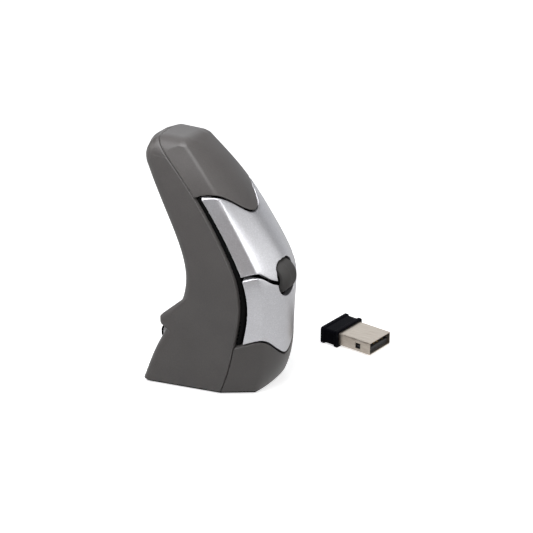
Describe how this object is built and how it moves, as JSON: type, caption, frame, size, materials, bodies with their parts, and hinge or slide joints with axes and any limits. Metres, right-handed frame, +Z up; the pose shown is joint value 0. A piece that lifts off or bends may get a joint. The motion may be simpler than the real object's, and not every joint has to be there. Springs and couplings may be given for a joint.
{
  "type": "computer mouse",
  "caption": "Upright pen-grip wireless computer mouse with two stacked finger buttons, a scroll wheel, a rear thumb ledge and a USB receiver lying beside it.",
  "frame": {"origin": "centre of the sensor's glide ring, on the desk under the middle of the base", "axes": "+X forward to the finger buttons, +Y to the mouse's left, +Z up; the mouse is symmetric about the XZ plane"},
  "size_m": [0.0657, 0.0688, 0.0827],
  "materials": {
    "casing_grey": "fine matt spark-eroded dark grey",
    "silver": "satin silver paint with fine metal flake",
    "black_plastic": "plain black moulding",
    "wheel_rubber": "dark grey soft rubber",
    "steel": "plain steel",
    "glide": "smooth low-friction pad",
    "board": "green circuit board",
    "chip": "black epoxy",
    "lens": "clear moulded lens",
    "foil": "foil pouch",
    "cable": "flat ribbon",
    "red_plastic": "red moulding",
    "ring_pale": "pale glossy bezel",
    "plug_steel": "nickel plated, lightly brushed",
    "receiver_black": "glossy black moulding",
    "contact": "gold plated"
  },
  "bodies": {
    "body": {"ballast_weight": "steel", "base_plate": "black_plastic", "base_screws": "steel", "battery": "foil", "charging_socket": "steel", "chassis": "black_plastic", "control_chip": "chip", "encoder_emitter": "black_plastic", "encoder_receiver": "black_plastic", "foot_cover": "casing_grey", "front_glide_pad": "glide", "inner_frame": "black_plastic", "left_side_shell": "casing_grey", "left_thumb_ring": "ring_pale", "left_thumb_switch": "black_plastic", "lower_pivot_pin": "steel", "lower_switch": "black_plastic", "main_board": "board", "power_switch": "black_plastic", "rear_glide_pad": "glide", "ribbon_cable": "cable", "right_side_shell": "casing_grey", "right_thumb_ring": "ring_pale", "right_thumb_switch": "black_plastic", "sensor_chip": "chip", "sensor_glide_ring": "glide", "sensor_lens": "lens", "socket_tongue": "chip", "thumb_board": "board", "top_cap": "casing_grey", "upper_pivot_pin": "steel", "upper_switch": "black_plastic", "upright_board": "board", "wheel_click_switch": "black_plastic", "wheel_guide": "black_plastic"},
    "upper_button": {"upper_button": "silver"},
    "lower_button": {"lower_button": "silver"},
    "upper_plunger": {"upper_switch_plunger": "red_plastic"},
    "lower_plunger": {"lower_switch_plunger": "red_plastic"},
    "wheel_carriage": {"wheel_fork": "black_plastic"},
    "wheel": {"wheel_tyre": "wheel_rubber", "wheel_hub": "black_plastic", "wheel_axle": "steel"},
    "left_thumb_button": {"left_thumb_button": "black_plastic"},
    "right_thumb_button": {"right_thumb_button": "black_plastic"},
    "power_slider": {"power_slider": "black_plastic"},
    "receiver": {"receiver_cap": "receiver_black", "receiver_plug": "plug_steel", "receiver_tongue": "chip", "receiver_contacts": "contact"}
  },
  "joints": [
    {"name": "upper_button_press", "type": "hinge", "parent": "body", "child": "upper_button", "pos_m": [0.0016, 0, 0.0634], "axis": [0, 1, 0], "range_deg": [0, 1], "stiffness_Nm_per_rad": 2},
    {"name": "lower_button_press", "type": "hinge", "parent": "body", "child": "lower_button", "pos_m": [0.0162, 0, 0.0226], "axis": [0, -1, 0], "range_deg": [0, 1.4], "stiffness_Nm_per_rad": 2},
    {"name": "upper_switch_travel", "type": "slide", "parent": "body", "child": "upper_plunger", "axis": [-1, 0, 0], "range_m": [0, 0.00025]},
    {"name": "lower_switch_travel", "type": "slide", "parent": "body", "child": "lower_plunger", "axis": [-1, 0, 0], "range_m": [0, 0.0002]},
    {"name": "wheel_click", "type": "slide", "parent": "body", "child": "wheel_carriage", "axis": [-1, 0, 0], "range_m": [0, 0.00035], "stiffness_N_per_m": 1500},
    {"name": "wheel_turn", "type": "hinge", "parent": "wheel_carriage", "child": "wheel", "pos_m": [0.0201, 0, 0.0399], "axis": [0, 1, 0], "continuous": true},
    {"name": "left_thumb_press", "type": "slide", "parent": "body", "child": "left_thumb_button", "axis": [1, 0, 0], "range_m": [0, 0.0003], "stiffness_N_per_m": 1500},
    {"name": "right_thumb_press", "type": "slide", "parent": "body", "child": "right_thumb_button", "axis": [1, 0, 0], "range_m": [0, 0.0003], "stiffness_N_per_m": 1500},
    {"name": "power_switch_slide", "type": "slide", "parent": "body", "child": "power_slider", "axis": [0, 1, 0], "range_m": [0, 0.0026]},
    {"name": "receiver_lift", "type": "slide", "parent": "body", "child": "receiver", "axis": [0, 0, 1], "range_m": [0, 0.04]}
  ],
  "couplings": [
    {"joint": "upper_switch_travel", "follows": "upper_button_press", "m_per_rad": 0.0122},
    {"joint": "lower_switch_travel", "follows": "lower_button_press", "m_per_rad": 0.007}
  ]
}
